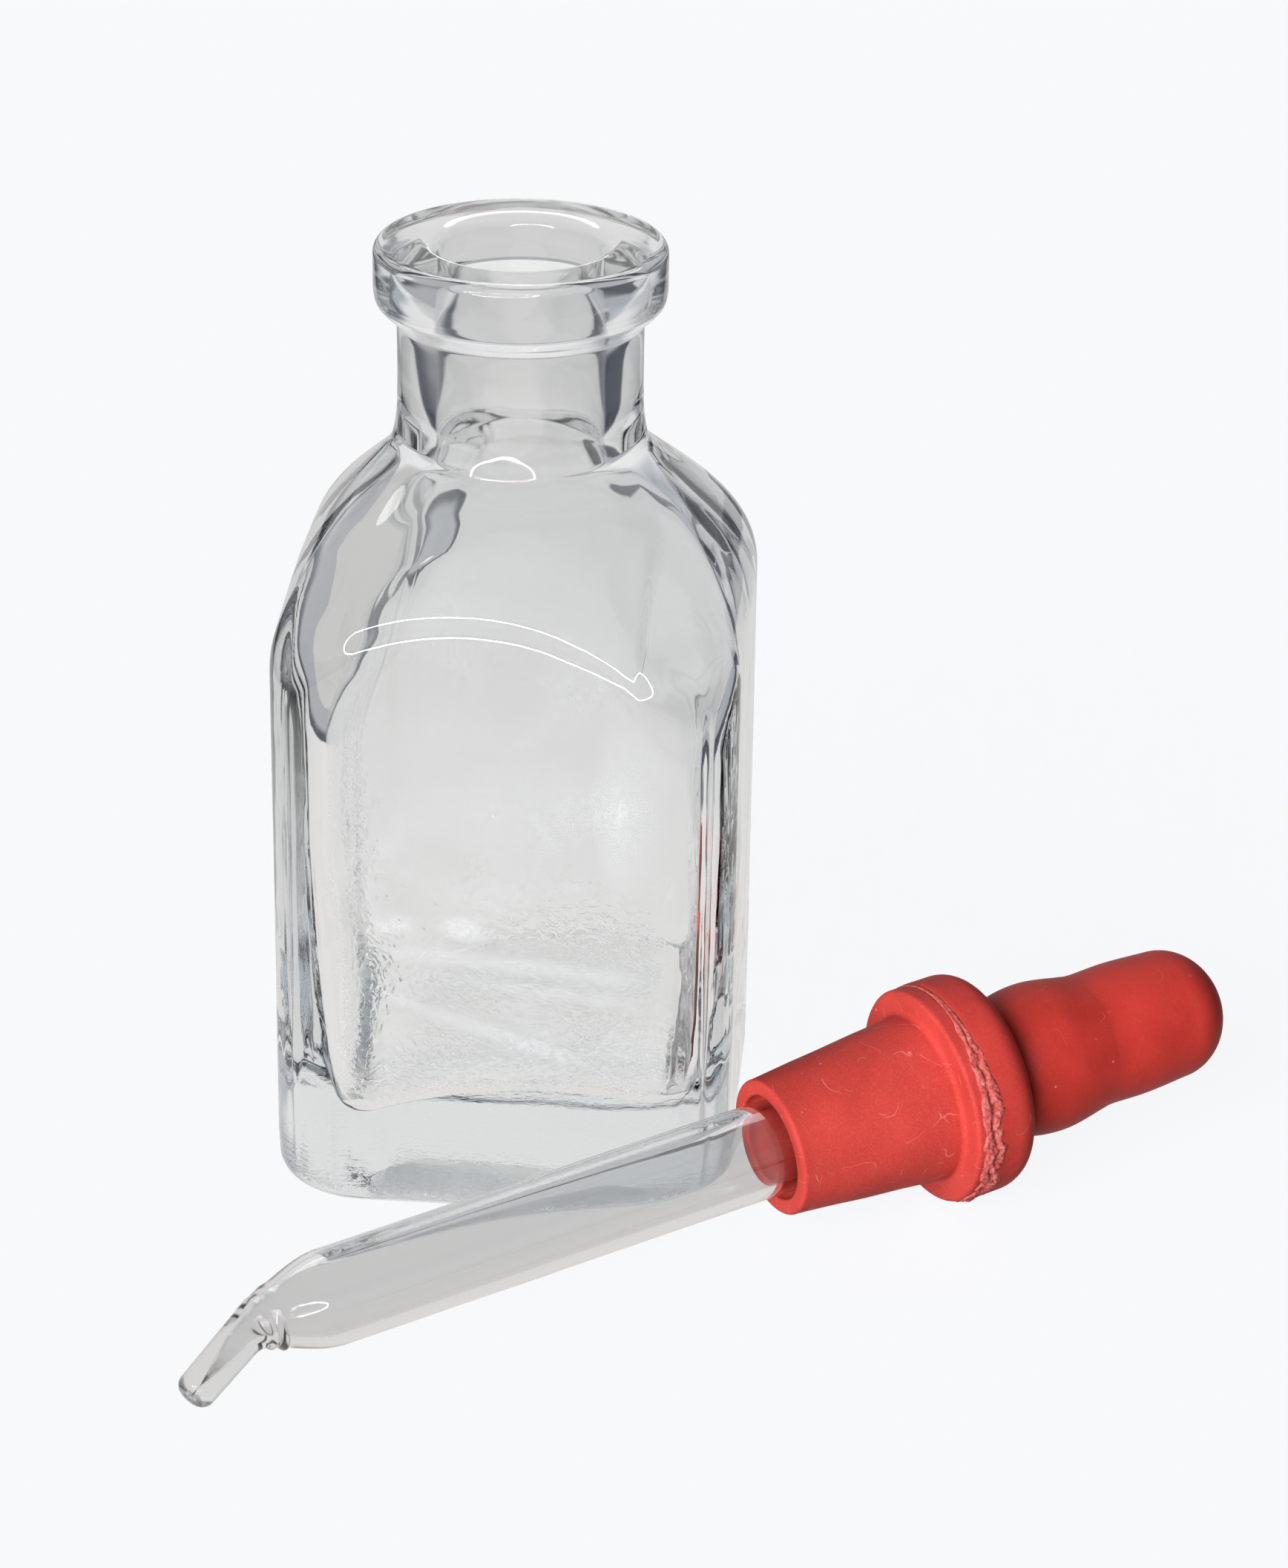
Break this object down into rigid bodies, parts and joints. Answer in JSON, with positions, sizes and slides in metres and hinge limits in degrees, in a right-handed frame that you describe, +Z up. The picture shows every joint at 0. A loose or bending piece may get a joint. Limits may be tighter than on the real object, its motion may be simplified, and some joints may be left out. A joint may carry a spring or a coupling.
{
  "type": "medicine dropper",
  "caption": "Square clear glass dropper bottle with a rubber-bulbed glass dropper lying beside it, its tapered stopper sized for the bottle's neck.",
  "frame": {"origin": "centre of the flat base that the bottle stands on", "axes": "+Z up through the bottle's mouth; -Y is the front of the bottle, where the dropper lies; +X is to the right, towards the dropper's bulb"},
  "size_m": [0.0896, 0.0779, 0.0865],
  "materials": {
    "bottle_glass": "clear, heavy walled, slightly uneven moulded glass",
    "pipette_glass": "clear, smooth drawn tube",
    "stopper_rubber": "dusty matt red rubber",
    "bulb_rubber": "smooth satin red rubber"
  },
  "bodies": {
    "bottle": {"bottle": "bottle_glass"},
    "pipette": {"glass_pipette": "pipette_glass"},
    "rubber_top": {"rubber_stopper": "stopper_rubber", "rubber_bulb": "bulb_rubber"},
    "grip_upper": {"bulb_grip_upper": "bulb_rubber"},
    "grip_lower": {"bulb_grip_lower": "bulb_rubber"}
  },
  "joints": [
    {"name": "dropper_lift", "type": "slide", "parent": "bottle", "child": "pipette", "axis": [0, 0, 1], "range_m": [0, 0.1]},
    {"name": "bulb_pull_off", "type": "slide", "parent": "pipette", "child": "rubber_top", "axis": [0.836, 0.5429, 0.0802], "range_m": [0, 0.028]},
    {"name": "squeeze_upper", "type": "slide", "parent": "rubber_top", "child": "grip_upper", "axis": [0.0673, 0.0437, -0.9968], "range_m": [0, 0.003], "stiffness_N_per_m": 2000},
    {"name": "squeeze_lower", "type": "slide", "parent": "rubber_top", "child": "grip_lower", "axis": [-0.0673, -0.0437, 0.9968], "range_m": [0, 0.003], "stiffness_N_per_m": 2000}
  ],
  "couplings": [
    {"joint": "squeeze_lower", "follows": "squeeze_upper", "ratio": 1}
  ]
}
